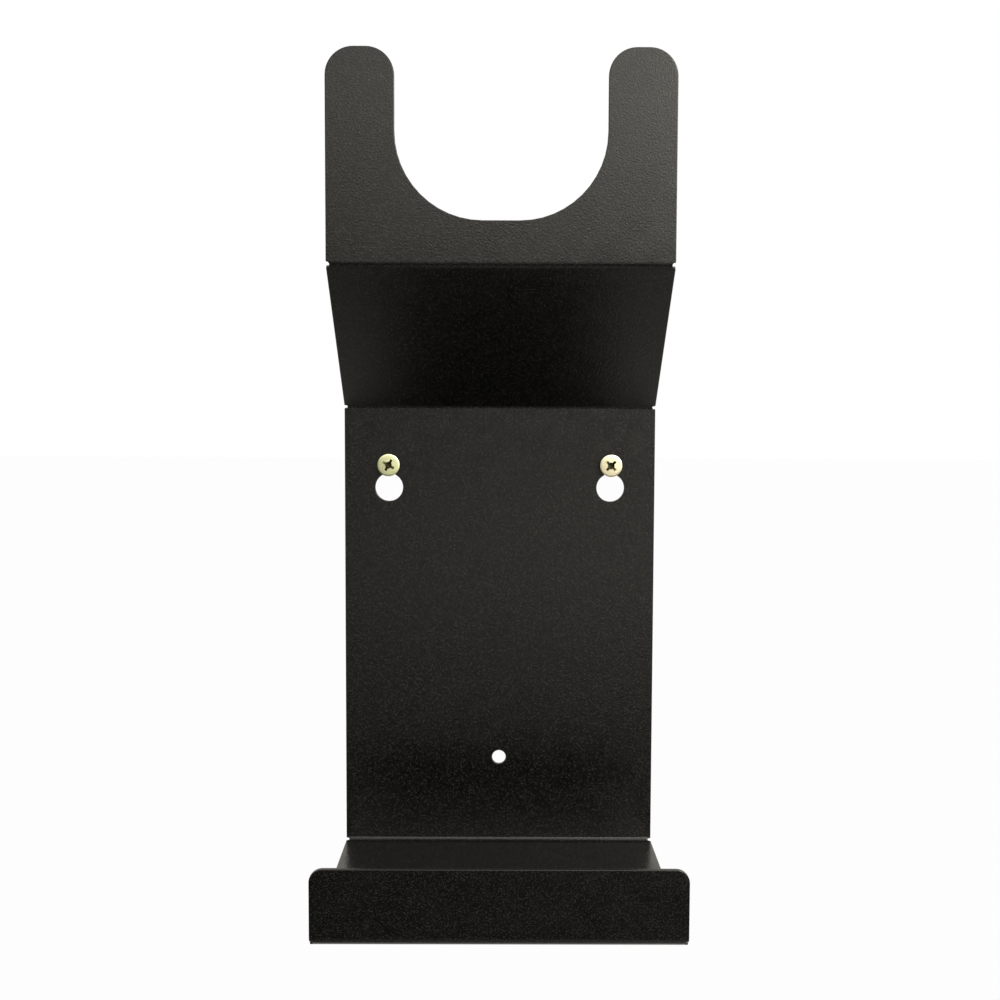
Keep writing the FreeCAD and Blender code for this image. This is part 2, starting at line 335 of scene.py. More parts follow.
past = add_node(press_brake, "ShaderNodeMath", {0: above, 1: given["Side"]},
                operation="MULTIPLY").outputs[0]
size_of_turn = add_node(press_brake, "ShaderNodeMath", {0: given["Turn"]},
                        operation="ABSOLUTE").outputs[0]
arc_length = add_node(press_brake, "ShaderNodeMath", {0: size_of_turn, 1: given["Radius"]},
                      operation="MULTIPLY").outputs[0]
wound = add_node(press_brake, "ShaderNodeClamp",
                 {"Value": past, "Min": 0.0, "Max": arc_length}).outputs[0]
back = add_node(press_brake, "ShaderNodeMath", {0: wound, 1: given["Side"]},
                operation="MULTIPLY").outputs[0]
pulled = add_node(press_brake, "ShaderNodeMath", {0: parts["Z"], 1: back},
                  operation="SUBTRACT").outputs[0]
share = add_node(press_brake, "ShaderNodeMath", {0: wound, 1: arc_length},
                 operation="DIVIDE").outputs[0]
angle = add_node(press_brake, "ShaderNodeMath", {0: share, 1: given["Turn"]},
                 operation="MULTIPLY").outputs[0]
way = add_node(press_brake, "ShaderNodeMath", {0: given["Turn"], 1: given["Side"]},
               operation="MULTIPLY").outputs[0]
sense = add_node(press_brake, "ShaderNodeMath", {0: way}, operation="SIGN").outputs[0]
offset = add_node(press_brake, "ShaderNodeMath", {0: sense, 1: given["Radius"]},
                  operation="MULTIPLY").outputs[0]
punch_y = add_node(press_brake, "ShaderNodeMath", {0: given["Sheet middle"], 1: offset},
                   operation="SUBTRACT").outputs[0]
punch = add_node(press_brake, "ShaderNodeCombineXYZ", {"Y": punch_y, "Z": given["Fold line"]})
laid = add_node(press_brake, "ShaderNodeCombineXYZ",
                {"X": parts["X"], "Y": parts["Y"], "Z": pulled})
swung = add_node(press_brake, "ShaderNodeVectorRotate",
                 {"Vector": laid.outputs[0], "Center": punch.outputs[0], "Angle": angle},
                 rotation_type="X_AXIS")
moved = add_node(press_brake, "GeometryNodeSetPosition",
                 {"Geometry": given["Blank"], "Position": swung.outputs[0]})
whole = add_node(press_brake, "GeometryNodeRealizeInstances", {"Geometry": moved.outputs[0]})
coated = add_node(press_brake, "GeometryNodeSetMaterial",
                  {"Geometry": whole.outputs[0], "Material": given["Finish"]})
add_node(press_brake, "NodeGroupOutput", {"Folded": coated.outputs[0]})


def run_tree(piece, tree, values):
    """Adds a node tree to a piece as a modifier, with its named inputs filled in."""
    modifier = piece.modifiers.new(tree.name, "NODES")
    modifier.node_group = tree
    for item in tree.interface.items_tree:
        if item.in_out == "INPUT" and item.name in values:
            modifier[item.identifier] = values[item.name]


def make_plain(piece):
    """Turns what a piece's modifiers make into its own mesh."""
    bpy.context.view_layer.update()
    seen = piece.evaluated_get(bpy.context.evaluated_depsgraph_get())
    piece.data = bpy.data.meshes.new_from_object(seen)
    piece.modifiers.clear()


folded_holder = bpy.data.objects.new("folded_holder", holder_mesh)
bpy.context.scene.collection.objects.link(folded_holder)
strokes = [
    (FORK_LINE, 1.0, -LEAN_TURN),
    (LEAN_LINE, 1.0, LEAN_TURN),
    (LIP_LINE, -1.0, -FLOOR_TURN),
    (FLOOR_LINE, -1.0, -FLOOR_TURN),
]
for line, side, turn in strokes:
    run_tree(folded_holder, press_brake,
             {"Fold line": line, "Side": side, "Turn": turn, "Radius": MID_RADIUS,
              "Sheet middle": SHEET_MIDDLE, "Finish": powder_coat})
make_plain(folded_holder)
folded_holder.modifiers.new("even shading", "WEIGHTED_NORMAL")
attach(folded_holder, "holder")
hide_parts("folded_bracket")


# Wall screws: two countersunk 4 x 35 screws with a cross recess, cold headed and thread
# rolled from steel wire, then zinc plated and yellow passivated. They are driven into the
# plugs until the heads stand 4 mm proud of the wall, and the holder hangs on their shanks.

HEAD_FACE = -4 * MM
HEAD_RADIUS = 4 * MM
HEAD_LAND = 0.3 * MM
HEAD_RIM_ROUNDING = 0.12 * MM
HEAD_RIM_SET_BACK = 0.04 * MM
DOME_RADIUS = 3.4 * MM
DOME_RISE = 0.1 * MM
SHANK_RADIUS = 2 * MM
NECK_FILLET = 0.15 * MM
NECK_RUN_OUT = 0.2 * MM
THREAD_START = 6 * MM
THREAD_PITCH = 1.8 * MM
CORE_RADIUS = 1.35 * MM
THREAD_BASE_SHARE = 0.5                 # of the pitch
THREAD_CREST_SHARE = 0.07
THREAD_SINK = 0.1 * MM                  # the thread's root starts inside the core
THREAD_STEPS = 40                       # per turn
POINT_LENGTH = 5 * MM
POINT_END_LENGTH = 0.7 * MM
POINT_END_RADIUS = 0.35 * MM
SCREW_LENGTH = 35 * MM
RECESS_RADIUS = 2.2 * MM
RECESS_DEPTH = 2.2 * MM
RECESS_BOTTOM_RADIUS = 0.9 * MM
WING_WIDTH = 0.9 * MM
RECESS_CORE_RADIUS = 1.2 * MM
RECESS_CORE_SIDES = 24
RECESS_CORE_POINT = 0.3 * MM
RECESS_LIFT = 0.3 * MM                  # the tools start clear of the domed face
SHADE_AND_DULL_REACH = 1.9 * MM                   # how far from the axis the recess is painted dark as shade, and made dull
SHADE_AND_DULL_FROM = 0.1 * MM                    # and between which depths below the head's face
SHADE_AND_DULL_TO = 3 * MM
TURNED_SIDES = 64
CORNER_ANGLE = math.radians(32)


def turned(profile, sides=TURNED_SIDES):
    """Closed mesh turned about Z from (radius, height) points that start and end on the axis."""
    made = bmesh.new()
    rows = []
    for radius, height in profile:
        if radius == 0:
            rows.append([made.verts.new((0, 0, height))])
            continue
        angles = [math.tau * index / sides for index in range(sides)]
        rows.append([made.verts.new((radius * math.cos(a), radius * math.sin(a), height))
                     for a in angles])
    for lower, upper in zip(rows, rows[1:]):
        for index in range(sides):
            corners = []
            for row, spot in ((lower, index - 1), (lower, index),
                              (upper, index), (upper, index - 1)):
                corner = row[spot] if len(row) > 1 else row[0]
                if corner not in corners:
                    corners.append(corner)
            made.faces.new(corners)
    bmesh.ops.recalc_face_normals(made, faces=made.faces)
    return made


def tapered_bar(half_top, half_bottom, width, top, depth):
    """Closed four-sided bar across the axis, narrowing downwards."""
    made = bmesh.new()
    corners = []
    for side in (-1, 1):
        y = side * width / 2
        corners.append([made.verts.new(spot) for spot in (
            (-half_top, y, top), (half_top, y, top),
            (half_bottom, y, top + depth), (-half_bottom, y, top + depth))])
    made.faces.new(corners[0])
    made.faces.new(corners[1][::-1])
    for index in range(4):
        made.faces.new((corners[0][index - 1], corners[0][index],
                        corners[1][index], corners[1][index - 1]))
    bmesh.ops.recalc_face_normals(made, faces=made.faces)
    return made


def as_object(made, name):
    """Puts a mesh that was being built into the scene as an object."""
    mesh = bpy.data.meshes.new(name)
    made.to_mesh(mesh)
    made.free()
    found = bpy.data.objects.new(name, mesh)
    bpy.context.scene.collection.objects.link(found)
    return found


def cut_away(piece, tool):
    """Cuts one closed piece out of another, and throws the tool away."""
    cut = piece.modifiers.new("cut", "BOOLEAN")
    cut.operation = "DIFFERENCE"
    cut.solver = "EXACT"
    cut.object = tool
    make_plain(piece)
    bpy.data.objects.remove(tool)


def shade_evenly(piece):
    """Smooth shading that keeps the piece's real corners sharp."""
    piece.data.shade_smooth()
    piece.data.set_sharp_from_angle(angle=CORNER_ANGLE)
    piece.modifiers.new("even shading", "WEIGHTED_NORMAL").keep_sharp = True


rim = HEAD_FACE + HEAD_RIM_SET_BACK
screw_neck = HEAD_FACE + HEAD_LAND + HEAD_RADIUS - SHANK_RADIUS
screw_tip = HEAD_FACE + SCREW_LENGTH
screw_body = as_object(turned([
    (0, HEAD_FACE - DOME_RISE),
    (1.2 * MM, HEAD_FACE - 0.9 * DOME_RISE),
    (2.4 * MM, HEAD_FACE - 0.5 * DOME_RISE),
    (DOME_RADIUS, HEAD_FACE),
    (HEAD_RADIUS - HEAD_RIM_ROUNDING, rim),
    (HEAD_RADIUS - 0.3 * HEAD_RIM_ROUNDING, rim + 0.3 * HEAD_RIM_ROUNDING),
    (HEAD_RADIUS, rim + HEAD_RIM_ROUNDING),
    (HEAD_RADIUS, HEAD_FACE + HEAD_LAND),
    (SHANK_RADIUS + NECK_FILLET, screw_neck - NECK_FILLET),
    (SHANK_RADIUS, screw_neck + NECK_RUN_OUT),
    (SHANK_RADIUS, THREAD_START),
    (CORE_RADIUS, THREAD_START + SHANK_RADIUS - CORE_RADIUS),
    (CORE_RADIUS, screw_tip - POINT_LENGTH),
    (POINT_END_RADIUS, screw_tip - POINT_END_LENGTH),
    (0, screw_tip),
]), "screw_body")
wing_slope = (RECESS_RADIUS - RECESS_BOTTOM_RADIUS) / RECESS_DEPTH
for quarter in (0, 90):
    wing = tapered_bar(RECESS_RADIUS + wing_slope * RECESS_LIFT, RECESS_BOTTOM_RADIUS, WING_WIDTH,
                       HEAD_FACE - RECESS_LIFT, RECESS_DEPTH + RECESS_LIFT)
    bmesh.ops.rotate(wing, verts=wing.verts, matrix=Matrix.Rotation(math.radians(quarter), 3, "Z"))
    cut_away(screw_body, as_object(wing, "recess_wing"))
core_slope = (RECESS_CORE_RADIUS - RECESS_BOTTOM_RADIUS) / RECESS_DEPTH
recess_core = turned([
    (0, HEAD_FACE - RECESS_LIFT),
    (RECESS_CORE_RADIUS + core_slope * RECESS_LIFT, HEAD_FACE - RECESS_LIFT),
    (RECESS_BOTTOM_RADIUS, HEAD_FACE + RECESS_DEPTH),
    (0, HEAD_FACE + RECESS_DEPTH + RECESS_CORE_POINT),
], RECESS_CORE_SIDES)
cut_away(screw_body, as_object(recess_core, "recess_core"))

screw_body.data.materials.clear()
# Faces in the recess are marked for painted shade in the colour and for extra roughness.
recess_shade_and_dullness = screw_body.data.attributes.new("recess", "FLOAT", "FACE")
for polygon in screw_body.data.polygons:
    depth = polygon.center.z - HEAD_FACE
    across = math.hypot(polygon.center.x, polygon.center.y)
    recess_shade_and_dullness.data[polygon.index].value = across < SHADE_AND_DULL_REACH and SHADE_AND_DULL_FROM < depth < SHADE_AND_DULL_TO

# Yellow passivated zinc on cold-headed steel: a bright, slightly uneven metal under a thin
# film, which is greenish straw or, where it is thinner, pale gold. The recess is painted a
# dark olive as painted shade, where the deep recess lies in shadow, and is made rougher.
FILM_PATCH = 5 * MM
PLATING_GRAIN = 0.25 * MM
PLATING_GRAIN_HEIGHT = 0.004 * MM
RECESS_EXTRA_ROUGHNESS = 0.25
zinc, zinc_output = new_material("yellow passivated zinc plate")
tree = zinc.node_tree
place = add_node(tree, "ShaderNodeTexCoord").outputs["Object"]
film_patch = add_node(tree, "ShaderNodeTexNoise",
                      {"Vector": place, "Scale": 1 / FILM_PATCH, "Detail": 2.0, "Roughness": 0.5})
film_patches = add_node(tree, "ShaderNodeMapRange",
                        {"Value": film_patch.outputs["Fac"], "From Min": NOISE_LOW,
                         "From Max": NOISE_HIGH, "To Min": -0.2, "To Max": 0.2})
film_thinness = add_node(tree, "ShaderNodeAttribute", attribute_name="film_thinness")
film_share = add_node(tree, "ShaderNodeMath",
                      {0: film_patches.outputs["Result"], 1: film_thinness.outputs["Fac"]},
                      operation="ADD", use_clamp=True)
film_colour = add_node(tree, "ShaderNodeMix",
                       {"Factor": film_share.outputs["Value"], "A": linear("#f1f6c4"),
                        "B": linear("#fbf0d2")}, data_type="RGBA")
# painted shade: the recess faces are painted a dark olive, where the deep recess lies in shadow
recess = add_node(tree, "ShaderNodeAttribute", attribute_name="recess")
zinc_colour = add_node(tree, "ShaderNodeMix",
                       {"Factor": recess.outputs["Fac"], "A": film_colour.outputs["Result"],
                        "B": linear("#45432a")}, data_type="RGBA")
plating = add_node(tree, "ShaderNodeTexNoise",
                   {"Vector": place, "Scale": 1 / PLATING_GRAIN, "Detail": 2.0, "Roughness": 0.6})
plating_roughness = add_node(tree, "ShaderNodeMapRange",
                             {"Value": plating.outputs["Fac"], "From Min": NOISE_LOW,
                              "From Max": NOISE_HIGH, "To Min": 0.26, "To Max": 0.38})
recess_roughness = add_node(tree, "ShaderNodeMath",
                            {0: recess.outputs["Fac"], 1: RECESS_EXTRA_ROUGHNESS},
                            operation="MULTIPLY")
zinc_roughness = add_node(tree, "ShaderNodeMath",
                          {0: plating_roughness.outputs["Result"], 1: recess_roughness.outputs[0]},
                          operation="ADD")
zinc_bump = add_node(tree, "ShaderNodeBump",
                     {"Height": plating.outputs["Fac"], "Distance": PLATING_GRAIN_HEIGHT})
zinc_shader = add_node(tree, "ShaderNodeBsdfPrincipled",
                       {"Base Color": zinc_colour.outputs["Result"], "Metallic": 1.0,
                        "Roughness": zinc_roughness.outputs["Value"],
                        "Normal": zinc_bump.outputs["Normal"]})
tree.links.new(zinc_shader.outputs["BSDF"], zinc_output.inputs["Surface"])

# The rolled thread follows a spiral round the core, and the finished screw is turned to
# where it was tightened and set into the wall.
screw_tree = bpy.data.node_groups.new("thread and place", "GeometryNodeTree")
for name, kind in (("Body", "NodeSocketGeometry"), ("Pitch", "NodeSocketFloat"),
                   ("Turns", "NodeSocketFloat"), ("Root radius", "NodeSocketFloat"),
                   ("Crest radius", "NodeSocketFloat"), ("Start", "NodeSocketFloat"),
                   ("Tightened turn", "NodeSocketFloat"), ("Across", "NodeSocketFloat"),
                   ("Film thinness", "NodeSocketFloat"), ("Finish", "NodeSocketMaterial")):
    screw_tree.interface.new_socket(name, in_out="INPUT", socket_type=kind)
screw_tree.interface.new_socket("Screw", in_out="OUTPUT", socket_type="NodeSocketGeometry")
given = add_node(screw_tree, "NodeGroupInput").outputs
thread_height = add_node(screw_tree, "ShaderNodeMath", {0: given["Pitch"], 1: given["Turns"]},
                         operation="MULTIPLY").outputs[0]
spiral = add_node(screw_tree, "GeometryNodeCurveSpiral",
                  {"Resolution": THREAD_STEPS, "Rotations": given["Turns"],
                   "Start Radius": given["Root radius"], "End Radius": given["Root radius"],
                   "Height": thread_height})
upright = add_node(screw_tree, "GeometryNodeSetCurveNormal", {"Curve": spiral.outputs["Curve"]},
                   mode="Z_UP")
rib_height = add_node(screw_tree, "ShaderNodeMath",
                      {0: given["Crest radius"], 1: given["Root radius"]},
                      operation="SUBTRACT").outputs[0]
rib_base = add_node(screw_tree, "ShaderNodeMath", {0: given["Pitch"], 1: THREAD_BASE_SHARE},
                    operation="MULTIPLY").outputs[0]
rib_crest = add_node(screw_tree, "ShaderNodeMath", {0: given["Pitch"], 1: THREAD_CREST_SHARE},
                     operation="MULTIPLY").outputs[0]
rib = add_node(screw_tree, "GeometryNodeCurvePrimitiveQuadrilateral",
               {"Bottom Width": rib_base, "Top Width": rib_crest, "Height": rib_height,
                "Offset": 0.0},
               mode="TRAPEZOID")
rib_lift = add_node(screw_tree, "ShaderNodeMath", {0: rib_height, 1: 0.5},
                    operation="MULTIPLY").outputs[0]
rib_place = add_node(screw_tree, "ShaderNodeCombineXYZ", {"X": rib_lift}).outputs[0]
outward_rib = add_node(screw_tree, "GeometryNodeTransform",
                       {"Geometry": rib.outputs["Curve"], "Translation": rib_place,
                        "Rotation": (0, 0, math.radians(-90))})
along = add_node(screw_tree, "GeometryNodeSplineParameter").outputs["Factor"]
to_end = add_node(screw_tree, "ShaderNodeMath", {0: 1.0, 1: along},
                  operation="SUBTRACT").outputs[0]
nearer = add_node(screw_tree, "ShaderNodeMath", {0: along, 1: to_end},
                  operation="MINIMUM").outputs[0]
run_out = add_node(screw_tree, "ShaderNodeMath", {0: nearer, 1: given["Turns"]},
                   operation="MULTIPLY", use_clamp=True).outputs[0]
thread = add_node(screw_tree, "GeometryNodeCurveToMesh",
                  {"Curve": upright.outputs["Curve"], "Profile Curve": outward_rib.outputs[0],
                   "Scale": run_out, "Fill Caps": True})
thread_place = add_node(screw_tree, "ShaderNodeCombineXYZ", {"Z": given["Start"]}).outputs[0]
set_thread = add_node(screw_tree, "GeometryNodeTransform",
                      {"Geometry": thread.outputs[0], "Translation": thread_place})
both = add_node(screw_tree, "GeometryNodeJoinGeometry", {"Geometry": given["Body"]})
screw_tree.links.new(set_thread.outputs[0], both.inputs[0])
turn_back = add_node(screw_tree, "ShaderNodeMath", {0: given["Tightened turn"], 1: -1.0},
                     operation="MULTIPLY").outputs[0]
tightened = add_node(screw_tree, "GeometryNodeTransform",
                     {"Geometry": both.outputs[0],
                      "Rotation": add_node(screw_tree, "ShaderNodeCombineXYZ",
                                           {"Z": turn_back}).outputs[0]})
into_wall = add_node(screw_tree, "GeometryNodeTransform",
                     {"Geometry": tightened.outputs[0],
                      "Translation": add_node(screw_tree, "ShaderNodeCombineXYZ",
                                              {"X": given["Across"]}).outputs[0],
                      "Rotation": (math.radians(-90), 0, 0)})
filmed = add_node(screw_tree, "GeometryNodeStoreNamedAttribute",
                  {"Geometry": into_wall.outputs[0], "Name": "film_thinness",
                   "Value": given["Film thinness"]}, data_type="FLOAT", domain="POINT")
whole = add_node(screw_tree, "GeometryNodeRealizeInstances", {"Geometry": filmed.outputs[0]})
plated = add_node(screw_tree, "GeometryNodeSetMaterial",
                  {"Geometry": whole.outputs[0], "Material": given["Finish"]})
add_node(screw_tree, "NodeGroupOutput", {"Screw": plated.outputs[0]})

thread_length = screw_tip - POINT_LENGTH - THREAD_START

# Each screw's name, side, turn when tightened in degrees, and thinness of its film
screws = (("left", -1, 60, 0.1), ("right", 1, 45, 0.8))
for side_name, side, tightened_turn, film_thinness in screws:
    screw = bpy.data.objects.new("screw_" + side_name, screw_body.data.copy())
    bpy.context.scene.collection.objects.link(screw)
    run_tree(screw, screw_tree,
             {"Pitch": THREAD_PITCH, "Turns": thread_length / THREAD_PITCH,
              "Root radius": CORE_RADIUS - THREAD_SINK, "Crest radius": SHANK_RADIUS,
              "Start": THREAD_START, "Tightened turn": math.radians(tightened_turn),
              "Across": side * SCREW_X, "Film thinness": film_thinness, "Finish": zinc})
    make_plain(screw)
    screw.data.materials.pop(index=0)   # the unplated body's own empty slot
    shade_evenly(screw)
    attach(screw, "fixings")
    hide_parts("wall_screw_" + side_name)
bpy.data.objects.remove(screw_body)


# Wall plugs: two 6 x 30 nylon plugs, injection moulded in one piece, with a plain round neck,
# and a split stretch of saw-tooth ribs that the screw spreads against the drilled hole.
# They sit just under the wall's surface.

PLUG_FACE = 0.3 * MM
PLUG_LENGTH = 30 * MM
PLUG_RADIUS = 3 * MM
PLUG_NECK = 6 * MM
PLUG_MOUTH_RADIUS = 2.1 * MM
PLUG_MOUTH_TAPER = 1 * MM
PLUG_BORE_RADIUS = 1.5 * MM
PLUG_TIP_LENGTH = 4 * MM
PLUG_TIP_RADIUS = 2.2 * MM
RIB_COUNT = 7
RIB_PITCH = 2.6 * MM
RIB_ROOT_RADIUS = 2.5 * MM
RIB_CREST = 0.6 * MM
SLIT_WIDTH = 0.8 * MM
SLIT_END_GAP = 0.3 * MM
RIB_GAP = 0.1 * MM                      # keeps neighbouring ribs from sharing a face
FIN_LENGTH = 9 * MM
FIN_WIDTH = 0.86 * MM
FIN_ROOT = 2.25 * MM
FIN_REACH = 2.9 * MM
FIN_HOLD = 0.1 * MM
CUT_CLEAR = 1 * MM
PLUG_SIDES = 48
BORE_SIDES = 40
MOULD_ROUNDING = 0.15 * MM

grip_start = PLUG_FACE + PLUG_NECK
plug_end = PLUG_FACE + PLUG_LENGTH
tip_start = plug_end - PLUG_TIP_LENGTH
first_crest = grip_start + RIB_PITCH - RIB_CREST
last_crest = grip_start + RIB_COUNT * RIB_PITCH - RIB_CREST
plug_body = as_object(turned([
    (0, PLUG_FACE),
    (PLUG_RADIUS - MOULD_ROUNDING, PLUG_FACE),
    (PLUG_RADIUS, PLUG_FACE + MOULD_ROUNDING),
    (PLUG_RADIUS, grip_start),
    (RIB_ROOT_RADIUS, first_crest - RIB_GAP),
    (RIB_ROOT_RADIUS, last_crest),
    (PLUG_RADIUS, last_crest),
    (PLUG_RADIUS, tip_start),
    (PLUG_TIP_RADIUS, plug_end - MOULD_ROUNDING),
    (PLUG_TIP_RADIUS - MOULD_ROUNDING, plug_end),
    (0, plug_end),
], PLUG_SIDES), "plug_body")

# Moulded nylon, natural grey: slightly translucent and satin, with a faint spark-eroded grain.
MOULD_GRAIN = 0.2 * MM
MOULD_GRAIN_HEIGHT = 0.01 * MM
MOULD_PATCH = 4 * MM
LIGHT_DEPTH = 0.5 * MM                  # how far light gets into the nylon
nylon, nylon_output = new_material("moulded grey nylon")
tree = nylon.node_tree
place = add_node(tree, "ShaderNodeTexCoord").outputs["Object"]
mould_grain = add_node(tree, "ShaderNodeTexNoise",
                       {"Vector": place, "Scale": 1 / MOULD_GRAIN, "Detail": 2.0})
mould_patch = add_node(tree, "ShaderNodeTexNoise",
                       {"Vector": place, "Scale": 1 / MOULD_PATCH, "Detail": 1.0})
nylon_colour = add_node(tree, "ShaderNodeMix",
                        {"Factor": mould_patch.outputs["Fac"], "A": linear("#b9bab6"),
                         "B": linear("#c9cac5")}, data_type="RGBA")
nylon_roughness = add_node(tree, "ShaderNodeMapRange",
                           {"Value": mould_grain.outputs["Fac"], "From Min": NOISE_LOW,
                            "From Max": NOISE_HIGH, "To Min": 0.4, "To Max": 0.55})
nylon_bump = add_node(tree, "ShaderNodeBump",
                      {"Height": mould_grain.outputs["Fac"], "Distance": MOULD_GRAIN_HEIGHT})
nylon_shader = add_node(tree, "ShaderNodeBsdfPrincipled",
                        {"Base Color": nylon_colour.outputs["Result"],
                         "Roughness": nylon_roughness.outputs["Result"],
                         "Normal": nylon_bump.outputs["Normal"], "IOR": 1.53,
                         "Subsurface Weight": 0.15, "Subsurface Scale": LIGHT_DEPTH})
tree.links.new(nylon_shader.outputs["BSDF"], nylon_output.inputs["Surface"])

# The saw-tooth ribs repeat down the grip: each is a flat crest, which holds against the
# pull of the screw, and a slope that lets the plug be pushed in. The last one is the tip's.
rib_tree = bpy.data.node_groups.new("saw-tooth ribs", "GeometryNodeTree")
for name, kind in (("Body", "NodeSocketGeometry"), ("Count", "NodeSocketInt"),
                   ("Pitch", "NodeSocketFloat"), ("First crest", "NodeSocketFloat"),
                   ("Crest length", "NodeSocketFloat"), ("Slope length", "NodeSocketFloat"),
                   ("Crest radius", "NodeSocketFloat"), ("Slope end radius", "NodeSocketFloat"),
                   ("Sides", "NodeSocketInt"), ("Finish", "NodeSocketMaterial")):
    rib_tree.interface.new_socket(name, in_out="INPUT", socket_type=kind)
rib_tree.interface.new_socket("Ribbed", in_out="OUTPUT", socket_type="NodeSocketGeometry")
given = add_node(rib_tree, "NodeGroupInput").outputs
slope = add_node(rib_tree, "GeometryNodeMeshCone",
                 {"Vertices": given["Sides"], "Radius Top": given["Slope end radius"],
                  "Radius Bottom": given["Crest radius"], "Depth": given["Slope length"]})
tooth = add_node(rib_tree, "GeometryNodeExtrudeMesh",
                 {"Mesh": slope.outputs["Mesh"], "Selection": slope.outputs["Bottom"],
                  "Offset Scale": given["Crest length"], "Individual": False}, mode="FACES")
slope_start = add_node(rib_tree, "ShaderNodeMath",
                       {0: given["First crest"], 1: given["Crest length"]},
                       operation="ADD").outputs[0]
first_place = add_node(rib_tree, "ShaderNodeCombineXYZ", {"Z": slope_start}).outputs[0]
next_place = add_node(rib_tree, "ShaderNodeCombineXYZ", {"Z": given["Pitch"]}).outputs[0]
places = add_node(rib_tree, "GeometryNodeMeshLine",
                  {"Count": given["Count"], "Start Location": first_place, "Offset": next_place},
                  mode="OFFSET")
teeth = add_node(rib_tree, "GeometryNodeInstanceOnPoints",
                 {"Points": places.outputs["Mesh"], "Instance": tooth.outputs["Mesh"]})
loose_teeth = add_node(rib_tree, "GeometryNodeRealizeInstances", {"Geometry": teeth.outputs[0]})
fused = add_node(rib_tree, "GeometryNodeMeshBoolean", operation="UNION", solver="EXACT")
rib_tree.links.new(given["Body"], fused.inputs["Mesh 2"])
rib_tree.links.new(loose_teeth.outputs[0], fused.inputs["Mesh 2"])
whole = add_node(rib_tree, "GeometryNodeRealizeInstances", {"Geometry": fused.outputs["Mesh"]})
moulded = add_node(rib_tree, "GeometryNodeSetMaterial",
                   {"Geometry": whole.outputs[0], "Material": given["Finish"]})
add_node(rib_tree, "NodeGroupOutput", {"Ribbed": moulded.outputs[0]})

plug_body.data.materials.append(nylon)
run_tree(plug_body, rib_tree,
         {"Count": RIB_COUNT - 1, "Pitch": RIB_PITCH, "First crest": first_crest,
          "Crest length": RIB_CREST, "Slope length": RIB_PITCH - RIB_CREST - RIB_GAP,
          "Crest radius": PLUG_RADIUS, "Slope end radius": RIB_ROOT_RADIUS - RIB_GAP,
          "Sides": PLUG_SIDES, "Finish": nylon})
make_plain(plug_body)

plug_bore = turned([
    (0, PLUG_FACE - CUT_CLEAR),
    (PLUG_MOUTH_RADIUS, PLUG_FACE - CUT_CLEAR),
    (PLUG_MOUTH_RADIUS, grip_start - PLUG_MOUTH_TAPER),
    (PLUG_BORE_RADIUS, grip_start),
    (PLUG_BORE_RADIUS, plug_end + CUT_CLEAR),
    (0, plug_end + CUT_CLEAR),
], BORE_SIDES)
cut_away(plug_body, as_object(plug_bore, "plug_bore"))
slit_half = PLUG_RADIUS + CUT_CLEAR
slit_start = grip_start + SLIT_END_GAP
slit = tapered_bar(slit_half, slit_half, SLIT_WIDTH, slit_start,
                   tip_start - SLIT_END_GAP - slit_start)
bmesh.ops.rotate(slit, verts=slit.verts, matrix=Matrix.Rotation(math.radians(90), 3, "Z"))
cut_away(plug_body, as_object(slit, "plug_slit"))

# Two fins against turning lie pressed flat in the slit by the drilled hole.
fins = bmesh.new()
fins.from_mesh(plug_body.data)
bmesh.ops.remove_doubles(fins, verts=fins.verts, dist=WELD_DISTANCE)
for side in (-1, 1):
    flanks = [[fins.verts.new(spot) for spot in (
        (x, side * FIN_ROOT, slit_start - FIN_HOLD), (x, side * FIN_REACH, slit_start - FIN_HOLD),
        (x, side * FIN_ROOT, slit_start + FIN_LENGTH))] for x in (-FIN_WIDTH / 2, FIN_WIDTH / 2)]
    made = [fins.faces.new(flanks[0]), fins.faces.new(flanks[1][::-1])]
    for index in range(3):
        made.append(fins.faces.new((flanks[0][index - 1], flanks[0][index],
                                    flanks[1][index], flanks[1][index - 1])))
    bmesh.ops.recalc_face_normals(fins, faces=made)
fins.to_mesh(plug_body.data)
fins.free()

for side_name, side in (("left", -1), ("right", 1)):
    plug = bpy.data.objects.new("plug_" + side_name, plug_body.data.copy())
    bpy.context.scene.collection.objects.link(plug)
    plug.data.transform(Matrix.Translation((side * SCREW_X, 0, 0))
                        @ Matrix.Rotation(math.radians(-90), 4, "X"))
    shade_evenly(plug)
    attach(plug, "fixings")
    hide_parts("wall_plug_" + side_name)
bpy.data.objects.remove(plug_body)


# Stage: a plain pale floor that glows evenly, well below the holder. The surround in front is
# graded in bright and dark bands and is brighter to the right, one round lamp stands in front,
# above and to the right, and the camera looks from a little above the screws.

FLOOR_Z = -0.35
FLOOR_HALF = 15
floor_mesh = bpy.data.meshes.new("floor")
floor_mesh.from_pydata([(x * FLOOR_HALF, y * FLOOR_HALF, FLOOR_Z)
                        for x, y in ((-1, -1), (1, -1), (1, 1), (-1, 1))], [], [(0, 1, 2, 3)])
floor = bpy.data.objects.new("floor", floor_mesh)
bpy.context.scene.collection.objects.link(floor)
floor.visible_diffuse = False
floor.visible_glossy = False
floor_paper, floor_output = new_material("pale paper sweep")
tree = floor_paper.node_tree
floor_light = add_node(tree, "ShaderNodeEmission", {"Color": linear("#fdfdfd"), "Strength": 1.0})
tree.links.new(floor_light.outputs[0], floor_output.inputs["Surface"])
floor_mesh.materials.append(floor_paper)

